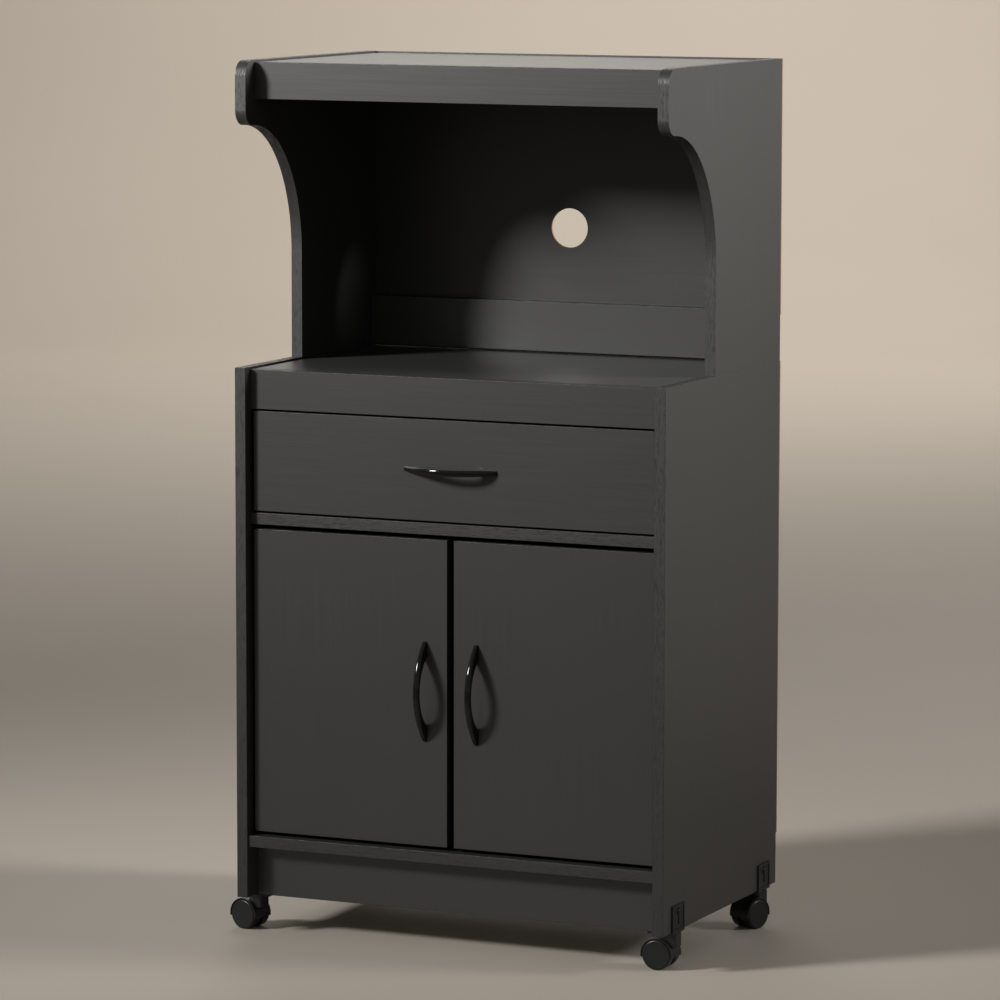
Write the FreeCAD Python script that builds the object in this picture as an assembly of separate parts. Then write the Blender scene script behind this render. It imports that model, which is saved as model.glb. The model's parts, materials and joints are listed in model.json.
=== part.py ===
import FreeCAD, Part
import math
import os

# Microwave cart: an open hutch over a base with one drawer and a two-door cupboard,
# on four swivelling twin-wheel casters.  Millimetres.
# Origin: on the floor, under the middle of the case.  X to the right, Y to the back, Z up.
# Every file in parts/ is one piece, or one group of like pieces.

V = FreeCAD.Vector
X = V(1, 0, 0)
Y = V(0, 1, 0)
Z = V(0, 0, 1)

# ---------------------------------------------------------------- driving dimensions
# boards
WIDTH = 600.0
SIDE_DEPTH = 385.0
BOARD = 15.0
BACK_SHEET = 3.0
SEAT = 0.1                   # clearance of a piece that is let into a hole

# heights
CASTER_HEIGHT = 50.0
BASE_HEIGHT = 692.0
HUTCH_HEIGHT = 393.0
TOE_KICK_HEIGHT = 67.0
CUPBOARD_HEIGHT = 407.0      # between bottom board and divider
APRON_HEIGHT = 51.0
TOP_DROP = 2.5               # tops lie this far under the side boards' ends

# setbacks of the front faces behind the base sides' front edges
BOTTOM_SETBACK = 3.0
DIVIDER_SETBACK = 12.5
FRONT_SETBACK = 13.0         # doors, drawer front and worktop apron
TOE_SETBACK = 28.0
HUTCH_APRON_SETBACK = 29.0

# gaps round the fronts
SIDE_GAP = 5.0
CENTRE_GAP = 9.4
DOOR_GAP_BELOW = 5.0
DOOR_GAP_ABOVE = 6.0
DRAWER_GAP_BELOW = 2.5
DRAWER_GAP_ABOVE = 2.5

# hutch
NOSE_SETBACK = 4.5
NOSE_HEIGHT = 83.0
NOSE_RADIUS = 20.0
CURVE_RISE = 170.0
CURVE_REACH = 138.0
HUTCH_APRON_HEIGHT = 47.0
HUTCH_RAIL_HEIGHT = 66.0
HUTCH_SHEET_LAP = 6.0        # the back sheet laps over the rail by this much
CABLE_HOLE_RADIUS = 26.0
CABLE_HOLE_HEIGHT = 164.0    # above the base's top

# cam locks that pull the hutch down on the base
CAM_RADIUS = 7.5
CAM_DEPTH = 12.5
CAM_HEIGHT = 34.0            # cam centre above the joint
CAM_SETBACKS = (210.0, 295.0)
CAM_SLOT = 2.0
CAM_SLOT_DEPTH = 1.5

# cupboard shelf
SHELF_SETBACK = 75.0
SHELF_SIDE_GAP = 1.0
SHELF_HEIGHT = 196.0         # under face, above the bottom board
SUPPORT_SIZE = 18.0          # legs of the corner blocks under the shelf
SUPPORT_WIDTH = 14.0
SUPPORT_INSET = 35.0

# handles
HANDLE_LENGTH = 129.0
HANDLE_PROJECTION = 28.0
HANDLE_BAR = 5.0
HANDLE_OPENING = 86.0
HANDLE_WIDTH = 7.5
HANDLE_TIP_WIDTH = 4.6
HANDLE_TIP_HEIGHT = 2.0      # blunt end of each foot
DOOR_HANDLE_INSET = 31.3     # from the door's free edge
DOOR_HANDLE_RISE = 200.4     # handle's middle above the door's lower edge
DRAWER_HANDLE_RISE = 65.5

# hinges
CUP_RADIUS = 17.5
CUP_DEPTH = 11.5
CUP_FLOOR = 0.6
WELL_LENGTH = 20.0           # rectangular well in the cup, towards the door's middle
WELL_WIDTH = 12.0
WELL_BEHIND = 3.3            # and on the other side of the pivot
CUP_INSET = 22.5             # cup centre from the door's hinge edge
WING_LENGTH = 52.0
WING_WIDTH = 18.0
WING_THICKNESS = 1.2
HINGE_PIN_RADIUS = 1.5
HINGE_PIN_HOLD = 2.0         # the pin reaches into the well's walls by this much
RUNNING = 0.05               # radial clearance of every pin in its bore
PIVOT_INSET = 10.0           # from the door's hinge edge
PIVOT_DEPTH = 7.5            # behind the door's front face
ARM_THICKNESS = 2.4
ARM_WIDTH = 10.0
ARM_REACH = 11.0             # crank sideways from the pivot, into the cup
ARM_BACK = 14.5              # crank behind the pivot
ARM_FOOT = 48.0              # length of the foot along the side board
ARM_EYE = 4.4                # square eye round the pin
HINGE_INSET = 80.0           # hinge centre from the door's ends

# drawer
DRAWER_BOARD = 12.0
DRAWER_SIDE_HEIGHT = 100.0
DRAWER_SIDE_LENGTH = 345.0
DRAWER_SIDE_RISE = 9.5       # under edge of the sides, above the front's lower edge
DRAWER_SHEET = 3.0
GROOVE_DEPTH = 5.0
GROOVE_RISE = 8.0
GROOVE_CLEARANCE = 0.2

# drawer slides
SLIDE_SPACE = 12.5
SLIDE_SHEET = 1.2
RAIL_HEIGHT = 24.0
RAIL_TOP_FLANGE = 9.0
RAIL_LOW_FLANGE = 10.5
RAIL_LIP = 3.5
RAIL_DROP = 3.2              # rail's lower edge under the drawer side's
RUNNER_TOP = 21.6            # runner's upper face above the rail's lower edge
RUNNER_SIDE_GAP = 1.0
RAIL_FRONT_GAP = 3.0         # rail starts this far behind the drawer front
ROLLER_GAP = 0.05            # between a roller and the flange it runs on
ROLLER_PLAY = 0.35           # under the rail's roller
ROLLER_WIDTH = 6.2
ROLLER_SIDE_GAP = 1.4
ROLLER_STUD_RADIUS = 2.5
ROLLER_INSET = 14.0          # roller centre from the rail's or runner's end

# casters
CASTER_INSET_Y = 47.5        # swivel axis behind the side boards' front edges
REAR_CASTER_INSET_Y = 45.0   # swivel axis in front of their back edges
BRACKET_WIDTH = 40.0
BRACKET_HEIGHT = 34.0        # leg on the side board
BRACKET_SHEET = 2.0
BRACKET_REACH = 35.0         # flange under the side board
BRACKET_RIM = 3.0
BRACKET_RIM_DEPTH = 0.8
BRACKET_SLOT_WIDTH = 5.0
BRACKET_SLOT_LENGTH = 21.0
BRACKET_SLOT_DROP = 4.7      # slot's end under the leg's top
WHEEL_RADIUS = 19.5
WHEEL_SIDES = 36             # flat sides of the tread: eight wheels stay light
WHEEL_WIDTH = 12.0
WHEEL_CHAMFER = 1.5          # on the outer shoulder
TRAIL = 15.0
WEB_WIDTH = 8.4              # the hood's web, between the wheels
WHEEL_SIDE_GAP = 0.4
WHEEL_WALL = 1.2             # closed outer face over the pin's end
AXLE_RADIUS = 2.0
AXLE_SIDES = 16
AXLE_END_GAP = 0.2
KINGPIN_RADIUS = 3.0
KINGPIN_LENGTH = 13.0        # under the bracket
SWIVEL_GAP = 0.2
BOSS_WIDTH = 20.0
BOSS_CORNER = 4.0
BOSS_LOW = 30.0
HOOD_GAP = 0.7               # between the treads and the corners of the hood's arch
HOOD_SHEET = 1.2
HOOD_WIDTH = 32.0
HOOD_DROP = 3.5              # the hood's ends hang this far under the wheels' axis
HOOD_SIDES = 14
HUB_RADIUS = 17.0
HUB_SIDES = 12
# how each caster stands: side, end, and the direction in which its wheels trail,
# in degrees from +X towards +Y
CASTERS = (
    ("front_left", -1, "front", 166.75),
    ("front_right", 1, "front", 180.0),
    ("rear_left", -1, "rear", 200.0),
    ("rear_right", 1, "rear", 250.0),
)

# ---------------------------------------------------------------- derived places
FRONT = -(SIDE_DEPTH + BACK_SHEET) / 2
BACK = FRONT + SIDE_DEPTH
OUTER = WIDTH / 2
INNER = OUTER - BOARD
BASE_TOP = CASTER_HEIGHT + BASE_HEIGHT
HUTCH_TOP = BASE_TOP + HUTCH_HEIGHT
BOTTOM_LOW = CASTER_HEIGHT + TOE_KICK_HEIGHT
BOTTOM_TOP = BOTTOM_LOW + BOARD
DIVIDER_LOW = BOTTOM_TOP + CUPBOARD_HEIGHT
DIVIDER_TOP = DIVIDER_LOW + BOARD
WORKTOP_TOP = BASE_TOP - TOP_DROP
APRON_LOW = WORKTOP_TOP - APRON_HEIGHT
HUTCH_BOARD_TOP = HUTCH_TOP - TOP_DROP
FACE = FRONT + FRONT_SETBACK           # front plane of doors and drawer front
FACE_BACK = FACE + BOARD

DOOR_LOW = BOTTOM_TOP + DOOR_GAP_BELOW
DOOR_TOP = DIVIDER_LOW - DOOR_GAP_ABOVE
DOOR_OUTER = INNER - SIDE_GAP          # the hinge edge
DOOR_FREE = CENTRE_GAP / 2             # the free edge
HINGE_HEIGHTS = (DOOR_LOW + HINGE_INSET, DOOR_TOP - HINGE_INSET)

DRAWER_LOW = DIVIDER_TOP + DRAWER_GAP_BELOW
DRAWER_TOP = APRON_LOW - DRAWER_GAP_ABOVE
DRAWER_SIDE_LOW = DRAWER_LOW + DRAWER_SIDE_RISE
DRAWER_SIDE_OUTER = INNER - SLIDE_SPACE
DRAWER_SIDE_INNER = DRAWER_SIDE_OUTER - DRAWER_BOARD
DRAWER_REAR = FACE_BACK + DRAWER_SIDE_LENGTH
GROOVE_LOW = DRAWER_SIDE_LOW + GROOVE_RISE
GROOVE_TOP = GROOVE_LOW + DRAWER_SHEET + GROOVE_CLEARANCE

RAIL_LOW = DRAWER_SIDE_LOW - RAIL_DROP
RAIL_START = FACE_BACK + RAIL_FRONT_GAP
RAIL_ROLLER_RADIUS = (RUNNER_TOP - 2 * SLIDE_SHEET - ROLLER_GAP - ROLLER_PLAY) / 2
RAIL_ROLLER_Z = RAIL_LOW + RUNNER_TOP - SLIDE_SHEET - ROLLER_GAP - RAIL_ROLLER_RADIUS
RAIL_ROLLER_Y = RAIL_START + ROLLER_INSET
RUNNER_ROLLER_RADIUS = RAIL_ROLLER_RADIUS - ROLLER_GAP
RUNNER_ROLLER_Z = RAIL_LOW + SLIDE_SHEET + ROLLER_GAP + RUNNER_ROLLER_RADIUS
RUNNER_ROLLER_Y = DRAWER_REAR - ROLLER_INSET

CASTER_X = OUTER - BOARD / 2
CASTER_Y = {"front": FRONT + CASTER_INSET_Y, "rear": BACK - REAR_CASTER_INSET_Y}
FLANGE_LOW = CASTER_HEIGHT - BRACKET_SHEET
LEG_TOP = FLANGE_LOW + BRACKET_SHEET + BRACKET_HEIGHT

WHEEL_INNER = WEB_WIDTH / 2 + WHEEL_SIDE_GAP
WHEEL_BORE_DEPTH = WHEEL_WIDTH - WHEEL_WALL
AXLE_BORE_RADIUS = (AXLE_RADIUS + RUNNING) / math.cos(math.pi / AXLE_SIDES)
HOOD_INNER = WHEEL_RADIUS + HOOD_GAP


# ---------------------------------------------------------------- small helpers
def block(x, y, z):
    """A box between two corners, each range given as (low, high) in any order."""
    lows = [min(r) for r in (x, y, z)]
    sizes = [abs(r[1] - r[0]) for r in (x, y, z)]
    return Part.makeBox(*sizes, V(*lows))


def rod(radius, start, direction, length):
    return Part.makeCylinder(radius, length, start, direction)


def both(side, low, high):
    """An X range on one side of the case; side is -1 for left and 1 for right."""
    return (side * low, side * high)


def plate(edges, direction):
    """A closed outline of curves and lines, pushed out along direction."""
    wire = Part.Wire([edge.toShape() for edge in edges])
    return Part.Face(wire).extrude(direction)


def prism(points, push):
    """A flat outline with straight sides, pushed out by the vector push."""
    return Part.Face(Part.makePolygon(points + points[:1])).extrude(push)


def save(name, *solids):
    shape = solids[0] if len(solids) == 1 else Part.makeCompound(list(solids))
    shape.exportStep("parts/" + name + ".step")


# ---------------------------------------------------------------- cam locks
def cam_places(side):
    for setback in CAM_SETBACKS:
        yield V(side * INNER, FRONT + setback, BASE_TOP + CAM_HEIGHT)


def cam_pocket(side, place):
    return rod(CAM_RADIUS + SEAT, place, X * side, CAM_DEPTH)


def cam_lock(side, place):
    """A cam with its screwdriver slot, flush with the board's inner face."""
    cam = rod(CAM_RADIUS, place, X * side, CAM_DEPTH)
    slot = block(
        both(side, INNER, INNER + CAM_SLOT_DEPTH),
        (place.y - CAM_SLOT / 2, place.y + CAM_SLOT / 2),
        (place.z - CAM_RADIUS, place.z + CAM_RADIUS),
    )
    return cam.cut(slot)


# ---------------------------------------------------------------- base
def base_side(side):
    return block(both(side, INNER, OUTER), (FRONT, BACK), (CASTER_HEIGHT, BASE_TOP))


def shelf_supports():
    """Corner blocks on the side boards that the shelf lies on."""
    supports = []
    top = BOTTOM_TOP + SHELF_HEIGHT
    for side in (-1, 1):
        for y in (FRONT + SHELF_SETBACK + SUPPORT_INSET, BACK - SUPPORT_INSET):
            corner = V(side * INNER, y - SUPPORT_WIDTH / 2, top)
            tips = [corner, corner - X * (side * SUPPORT_SIZE), corner - Z * SUPPORT_SIZE]
            supports.append(prism(tips, Y * SUPPORT_WIDTH))
    return supports


def cross_board(y, z):
    """A board between the side boards."""
    return block((-INNER, INNER), y, z)


def build_base():
    save("base_side_left", base_side(-1))
    save("base_side_right", base_side(1))
    worktop_z = (WORKTOP_TOP - BOARD, WORKTOP_TOP)
    save("worktop", cross_board((FACE_BACK, BACK), worktop_z))
    save("worktop_apron", cross_board((FACE, FACE_BACK), (APRON_LOW, WORKTOP_TOP)))
    save("drawer_divider", cross_board((FRONT + DIVIDER_SETBACK, BACK), (DIVIDER_LOW, DIVIDER_TOP)))
    save("bottom_board", cross_board((FRONT + BOTTOM_SETBACK, BACK), (BOTTOM_LOW, BOTTOM_TOP)))
    toe_y = (FRONT + TOE_SETBACK, FRONT + TOE_SETBACK + BOARD)
    save("toe_kick", cross_board(toe_y, (CASTER_HEIGHT, BOTTOM_LOW)))
    sheet_y = (BACK, BACK + BACK_SHEET)
    save("base_back_sheet", block((-OUTER, OUTER), sheet_y, (BOTTOM_LOW, BASE_TOP)))
    shelf_x = INNER - SHELF_SIDE_GAP
    shelf_low = BOTTOM_TOP + SHELF_HEIGHT
    shelf_y = (FRONT + SHELF_SETBACK, BACK)
    save("cabinet_shelf", block((-shelf_x, shelf_x), shelf_y, (shelf_low, shelf_low + BOARD)))
    save("shelf_supports", *shelf_supports())


# ---------------------------------------------------------------- hutch
def hutch_side(side):
    """Side board whose front sweeps forward under a rounded nose that carries the apron."""
    x = side * INNER
    nose = FRONT + NOSE_SETBACK
    bow = NOSE_SETBACK + NOSE_RADIUS
    nose_low = HUTCH_TOP - NOSE_HEIGHT
    curve_low = nose_low - CURVE_RISE
    throat = FRONT + bow + CURVE_REACH
    slant = NOSE_RADIUS * math.sqrt(0.5)
    low_centre = V(x, nose + NOSE_RADIUS, nose_low + NOSE_RADIUS)
    top_centre = V(x, nose + NOSE_RADIUS, HUTCH_TOP - NOSE_RADIUS)
    curve_centre = V(x, FRONT + bow, curve_low)
    ellipse = Part.Ellipse(curve_centre + Z * CURVE_RISE, curve_centre + Y * CURVE_REACH, curve_centre)
    outline = [
        Part.LineSegment(V(x, BACK, BASE_TOP), V(x, BACK, HUTCH_TOP)),
        Part.LineSegment(V(x, BACK, HUTCH_TOP), top_centre + Z * NOSE_RADIUS),
        Part.Arc(top_centre + Z * NOSE_RADIUS, top_centre + V(0, -slant, slant), top_centre - Y * NOSE_RADIUS),
        Part.LineSegment(top_centre - Y * NOSE_RADIUS, low_centre - Y * NOSE_RADIUS),
        Part.Arc(low_centre - Y * NOSE_RADIUS, low_centre + V(0, -slant, -slant), low_centre - Z * NOSE_RADIUS),
        Part.ArcOfEllipse(ellipse, 0, math.pi / 2),
        Part.LineSegment(V(x, throat, curve_low), V(x, throat, BASE_TOP)),
        Part.LineSegment(V(x, throat, BASE_TOP), V(x, BACK, BASE_TOP)),
    ]
    body = plate(outline, X * (side * BOARD))
    for place in cam_places(side):
        body = body.cut(cam_pocket(side, place))
    return body


def hutch_back_sheet():
    """Thin back with the round hole for the oven's lead."""
    low = BASE_TOP + HUTCH_RAIL_HEIGHT - HUTCH_SHEET_LAP
    sheet = block((-OUTER, OUTER), (BACK, BACK + BACK_SHEET), (low, HUTCH_TOP))
    centre = V(0, BACK, BASE_TOP + CABLE_HOLE_HEIGHT)
    return sheet.cut(rod(CABLE_HOLE_RADIUS, centre, Y, BACK_SHEET))


def build_hutch():
    save("hutch_side_left", hutch_side(-1))
    save("hutch_side_right", hutch_side(1))
    apron_y = (FRONT + HUTCH_APRON_SETBACK, FRONT + HUTCH_APRON_SETBACK + BOARD)
    save("hutch_apron", cross_board(apron_y, (HUTCH_BOARD_TOP - HUTCH_APRON_HEIGHT, HUTCH_BOARD_TOP)))
    save("hutch_top", cross_board((apron_y[1], BACK), (HUTCH_BOARD_TOP - BOARD, HUTCH_BOARD_TOP)))
    rail_z = (BASE_TOP, BASE_TOP + HUTCH_RAIL_HEIGHT)
    save("hutch_back_rail", cross_board((BACK - BOARD, BACK), rail_z))
    save("hutch_back_sheet", hutch_back_sheet())
    places = [(side, place) for side in (-1, 1) for place in cam_places(side)]
    save("cam_locks", *[cam_lock(side, place) for side, place in places])


# ---------------------------------------------------------------- handles
def bow_handle(middle, along, out):
    """A bow whose bar thins towards its pointed feet, lying on a front at middle."""
    half = HANDLE_LENGTH / 2
    hole = HANDLE_OPENING / 2
    inner = HANDLE_PROJECTION - HANDLE_BAR
    blunt = HANDLE_TIP_HEIGHT
    profile = [
        Part.Arc(V(-half, blunt, 0), V(0, HANDLE_PROJECTION, 0), V(half, blunt, 0)),
        Part.LineSegment(V(half, blunt, 0), V(half, 0, 0)),
        Part.LineSegment(V(half, 0, 0), V(hole, 0, 0)),
        Part.Arc(V(hole, 0, 0), V(0, inner, 0), V(-hole, 0, 0)),
        Part.LineSegment(V(-hole, 0, 0), V(-half, 0, 0)),
        Part.LineSegment(V(-half, 0, 0), V(-half, blunt, 0)),
    ]
    bow = plate(profile, Z * (2 * HANDLE_WIDTH))
    bow.translate(Z * -HANDLE_WIDTH)
    tip = HANDLE_TIP_WIDTH / 2
    waist = HANDLE_WIDTH / 2
    plan = [
        Part.Arc(V(-half, 0, tip), V(0, 0, waist), V(half, 0, tip)),
        Part.LineSegment(V(half, 0, tip), V(half, 0, -tip)),
        Part.Arc(V(half, 0, -tip), V(0, 0, -waist), V(-half, 0, -tip)),
        Part.LineSegment(V(-half, 0, -tip), V(-half, 0, tip)),
    ]
    bow = bow.common(plate(plan, Y * (2 * HANDLE_PROJECTION)))
    across = along.cross(out)
    bow.Placement = FreeCAD.Placement(middle, FreeCAD.Rotation(along, out, across, "XYZ"))
    return bow


# ---------------------------------------------------------------- hinges and doors
def pivot(side):
    return V(side * (DOOR_OUTER - PIVOT_INSET), FACE + PIVOT_DEPTH, 0)


def hinge_arm(side, height):
    """Cranked strip: an eye on the hinge pin, round the door's edge, to a foot on the side board."""
    centre = pivot(side)
    crank = centre.x - side * ARM_REACH
    foot = side * (INNER - ARM_THICKNESS / 2)
    behind = centre.y + ARM_BACK
    corners = ((centre.x, centre.y), (crank, centre.y), (crank, behind), (foot, behind), (foot, behind + ARM_FOOT))
    legs = [arm_piece(start, end, ARM_THICKNESS, height) for start, end in zip(corners, corners[1:])]
    eye = arm_piece(corners[0], corners[0], ARM_EYE, height)
    bore = rod(HINGE_PIN_RADIUS + RUNNING, centre + Z * (height - ARM_WIDTH / 2), Z, ARM_WIDTH)
    return eye.fuse(legs).cut(bore).removeSplitter()


def arm_piece(start, end, thickness, height):
    """The arm's strip between two corners of its path."""
    half = thickness / 2
    x_range = (min(start[0], end[0]) - half, max(start[0], end[0]) + half)
    y_range = (min(start[1], end[1]) - half, max(start[1], end[1]) + half)
    return block(x_range, y_range, (height - ARM_WIDTH / 2, height + ARM_WIDTH / 2))


def hinge_cup(side, height):
    """Moulded cup with its wing plate, and the pin across its well."""
    centre = V(side * (DOOR_OUTER - CUP_INSET), FACE_BACK, height)
    cup = rod(CUP_RADIUS, centre, -Y, CUP_DEPTH)
    wing = block(
        (centre.x - WING_WIDTH / 2, centre.x + WING_WIDTH / 2),
        (FACE_BACK, FACE_BACK + WING_THICKNESS),
        (height - WING_LENGTH / 2, height + WING_LENGTH / 2),
    )
    axis = pivot(side)
    well = block(
        (axis.x + side * WELL_BEHIND, axis.x - side * WELL_LENGTH),
        (FACE_BACK - CUP_DEPTH + CUP_FLOOR, FACE_BACK + WING_THICKNESS),
        (height - WELL_WIDTH / 2, height + WELL_WIDTH / 2),
    )
    half_pin = WELL_WIDTH / 2 + HINGE_PIN_HOLD
    pin = rod(HINGE_PIN_RADIUS, axis + Z * (height - half_pin), Z, 2 * half_pin)
    return cup.fuse(wing).cut(well).fuse(pin)


def door(side):
    """Door with its cup pockets."""
    body = block(both(side, DOOR_FREE, DOOR_OUTER), (FACE, FACE_BACK), (DOOR_LOW, DOOR_TOP))
    for height in HINGE_HEIGHTS:
        centre = V(side * (DOOR_OUTER - CUP_INSET), FACE_BACK, height)
        body = body.cut(rod(CUP_RADIUS + SEAT, centre, -Y, CUP_DEPTH))
    return body


def door_handle_middle(side):
    return V(side * (DOOR_FREE + DOOR_HANDLE_INSET), FACE, DOOR_LOW + DOOR_HANDLE_RISE)


def build_doors():
    for name, side in (("door_left", -1), ("door_right", 1)):
        save(name, door(side))
        save(name + "_handle", bow_handle(door_handle_middle(side), Z, -Y))
        save(name + "_hinge_cups", *[hinge_cup(side, height) for height in HINGE_HEIGHTS])
    arms = [hinge_arm(side, height) for side in (-1, 1) for height in HINGE_HEIGHTS]
    save("hinge_arms", *arms)


# ---------------------------------------------------------------- drawer and slides
def drawer_front():
    body = block((-DOOR_OUTER, DOOR_OUTER), (FACE, FACE_BACK), (DRAWER_LOW, DRAWER_TOP))
    groove = block(
        (-DRAWER_SIDE_INNER - GROOVE_DEPTH, DRAWER_SIDE_INNER + GROOVE_DEPTH),
        (FACE_BACK - GROOVE_DEPTH, FACE_BACK),
        (GROOVE_LOW, GROOVE_TOP),
    )
    return body.cut(groove)


def drawer_handle_middle():
    return V(0, FACE, DRAWER_LOW + DRAWER_HANDLE_RISE)


def drawer_side(side):
    z_range = (DRAWER_SIDE_LOW, DRAWER_SIDE_LOW + DRAWER_SIDE_HEIGHT)
    body = block(both(side, DRAWER_SIDE_INNER, DRAWER_SIDE_OUTER), (FACE_BACK, DRAWER_REAR), z_range)
    groove_x = both(side, DRAWER_SIDE_INNER, DRAWER_SIDE_INNER + GROOVE_DEPTH)
    return body.cut(block(groove_x, (FACE_BACK, DRAWER_REAR), (GROOVE_LOW, GROOVE_TOP)))


def slide_rail(side):
    """Fixed C rail on the side board, with the stud of its front roller."""
    front = RAIL_START
    rear = front + DRAWER_SIDE_LENGTH - RAIL_FRONT_GAP
    low = RAIL_LOW
    top = low + RAIL_HEIGHT
    web_x = both(side, INNER, INNER - SLIDE_SHEET)
    web = block(web_x, (front, rear), (low, top))
    low_x = both(side, INNER, INNER - RAIL_LOW_FLANGE)
    low_flange = block(low_x, (front, rear), (low, low + SLIDE_SHEET))
    lip_x = both(side, INNER - RAIL_LOW_FLANGE, INNER - RAIL_LOW_FLANGE + SLIDE_SHEET)
    lip = block(lip_x, (front, rear), (low, low + RAIL_LIP))
    top_x = both(side, INNER, INNER - RAIL_TOP_FLANGE)
    top_flange = block(top_x, (front, rear), (top - SLIDE_SHEET, top))
    stud_length = SLIDE_SHEET + ROLLER_SIDE_GAP + ROLLER_WIDTH
    stud = rod(ROLLER_STUD_RADIUS, V(side * INNER, RAIL_ROLLER_Y, RAIL_ROLLER_Z), X * -side, stud_length)
    return web.fuse([low_flange, lip, top_flange, stud]).removeSplitter()


def drawer_runner(side):
    """Moving runner that wraps the drawer side's lower edge, with the stud of its rear roller."""
    drawer_face = DRAWER_SIDE_OUTER
    y_range = (FACE_BACK, DRAWER_REAR)
    top = RAIL_LOW + RUNNER_TOP
    web_x = both(side, drawer_face, drawer_face + SLIDE_SHEET)
    web = block(web_x, y_range, (DRAWER_SIDE_LOW - SLIDE_SHEET, top))
    top_x = both(side, drawer_face, INNER - SLIDE_SHEET - RUNNER_SIDE_GAP)
    top_flange = block(top_x, y_range, (top - SLIDE_SHEET, top))
    low_x = both(side, drawer_face + SLIDE_SHEET, DRAWER_SIDE_INNER)
    low_flange = block(low_x, y_range, (DRAWER_SIDE_LOW - SLIDE_SHEET, DRAWER_SIDE_LOW))
    start = V(side * drawer_face, RUNNER_ROLLER_Y, RUNNER_ROLLER_Z)
    stud_length = INNER - drawer_face - SLIDE_SHEET - ROLLER_SIDE_GAP
    stud = rod(ROLLER_STUD_RADIUS, start, X * side, stud_length)
    return web.fuse([top_flange, low_flange, stud]).removeSplitter()


def slide_rollers(radius, y, z):
    """One roller at each side, on one line."""
    rollers = []
    for side in (-1, 1):
        start = V(side * (INNER - SLIDE_SHEET - ROLLER_SIDE_GAP), y, z)
        body = rod(radius, start, X * -side, ROLLER_WIDTH)
        bore = rod(ROLLER_STUD_RADIUS + RUNNING, start, X * -side, ROLLER_WIDTH)
        rollers.append(body.cut(bore))
    return rollers


def build_drawer():
    save("drawer_front", drawer_front())
    save("drawer_handle", bow_handle(drawer_handle_middle(), X, -Y))
    save("drawer_side_left", drawer_side(-1))
    save("drawer_side_right", drawer_side(1))
    back_x = (-DRAWER_SIDE_INNER, DRAWER_SIDE_INNER)
    back_z = (GROOVE_TOP, DRAWER_SIDE_LOW + DRAWER_SIDE_HEIGHT)
    save("drawer_back", block(back_x, (DRAWER_REAR - DRAWER_BOARD, DRAWER_REAR), back_z))
    reach = GROOVE_DEPTH - GROOVE_CLEARANCE
    sheet_x = (-DRAWER_SIDE_INNER - reach, DRAWER_SIDE_INNER + reach)
    sheet_z = (GROOVE_LOW, GROOVE_LOW + DRAWER_SHEET)
    save("drawer_bottom", block(sheet_x, (FACE_BACK - reach, DRAWER_REAR), sheet_z))
    for name, side in (("left", -1), ("right", 1)):
        save("slide_rail_" + name, slide_rail(side))
        save("drawer_runner_" + name, drawer_runner(side))
    save("rail_rollers", *slide_rollers(RAIL_ROLLER_RADIUS, RAIL_ROLLER_Y, RAIL_ROLLER_Z))
    save("runner_rollers", *slide_rollers(RUNNER_ROLLER_RADIUS, RUNNER_ROLLER_Y, RUNNER_ROLLER_Z))


# ---------------------------------------------------------------- casters
def caster_bracket(side, end):
    """Angle plate with its swivel pin: a flange under the side board, a rimmed, slotted leg on its face."""
    y = CASTER_Y[end]
    y_range = (y - BRACKET_WIDTH / 2, y + BRACKET_WIDTH / 2)
    outer = OUTER + BRACKET_SHEET
    leg = block(both(side, OUTER, outer), y_range, (FLANGE_LOW, LEG_TOP))
    flange = block(both(side, outer - BRACKET_REACH, outer), y_range, (FLANGE_LOW, CASTER_HEIGHT))
    recess = block(
        both(side, outer - BRACKET_RIM_DEPTH, outer),
        (y_range[0] + BRACKET_RIM, y_range[1] - BRACKET_RIM),
        (CASTER_HEIGHT + BRACKET_RIM, LEG_TOP - BRACKET_RIM),
    )
    slot_top = LEG_TOP - BRACKET_SLOT_DROP
    slot = block(
        both(side, OUTER, outer),
        (y - BRACKET_SLOT_WIDTH / 2, y + BRACKET_SLOT_WIDTH / 2),
        (slot_top - BRACKET_SLOT_LENGTH, slot_top),
    )
    pin = rod(KINGPIN_RADIUS, V(side * CASTER_X, y, FLANGE_LOW), -Z, KINGPIN_LENGTH)
    return leg.fuse([flange, pin]).cut(recess).cut(slot).removeSplitter()


# A caster is modelled with its swivel axis on Z and its wheels trailing along +X.
def level_arc(radius, steps, start, sweep, y):
    """Points about the wheels' axis, in the plane at y; angles are in radians from +X towards +Z."""
    turns = [start + sweep * number / steps for number in range(steps + 1)]
    return [V(TRAIL + radius * math.cos(turn), y, WHEEL_RADIUS + radius * math.sin(turn)) for turn in turns]


def many_sided(radius, sides, width, middle=0.0):
    """A disc with flat sides on the wheels' axis; middle is its place along that axis."""
    points = level_arc(radius, sides, 0, 2 * math.pi, middle - width / 2)
    return prism(points[:-1], Y * width)


def arch(radius, width):
    """The upper part of such a disc, down to the hood's ends."""
    drop = math.asin(HOOD_DROP / radius)
    return prism(level_arc(radius, HOOD_SIDES, -drop, math.pi + 2 * drop, -width / 2), Y * width)


def boss():
    """Eight-sided boss round the swivel pin."""
    half = BOSS_WIDTH / 2
    short = half - BOSS_CORNER
    quarter = [(half, -short), (half, short), (short, half), (-short, half)]
    points = [V(x, y, BOSS_LOW) for x, y in quarter + [(-x, -y) for x, y in quarter]]
    return prism(points, Z * (FLANGE_LOW - SWIVEL_GAP - BOSS_LOW))


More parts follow.
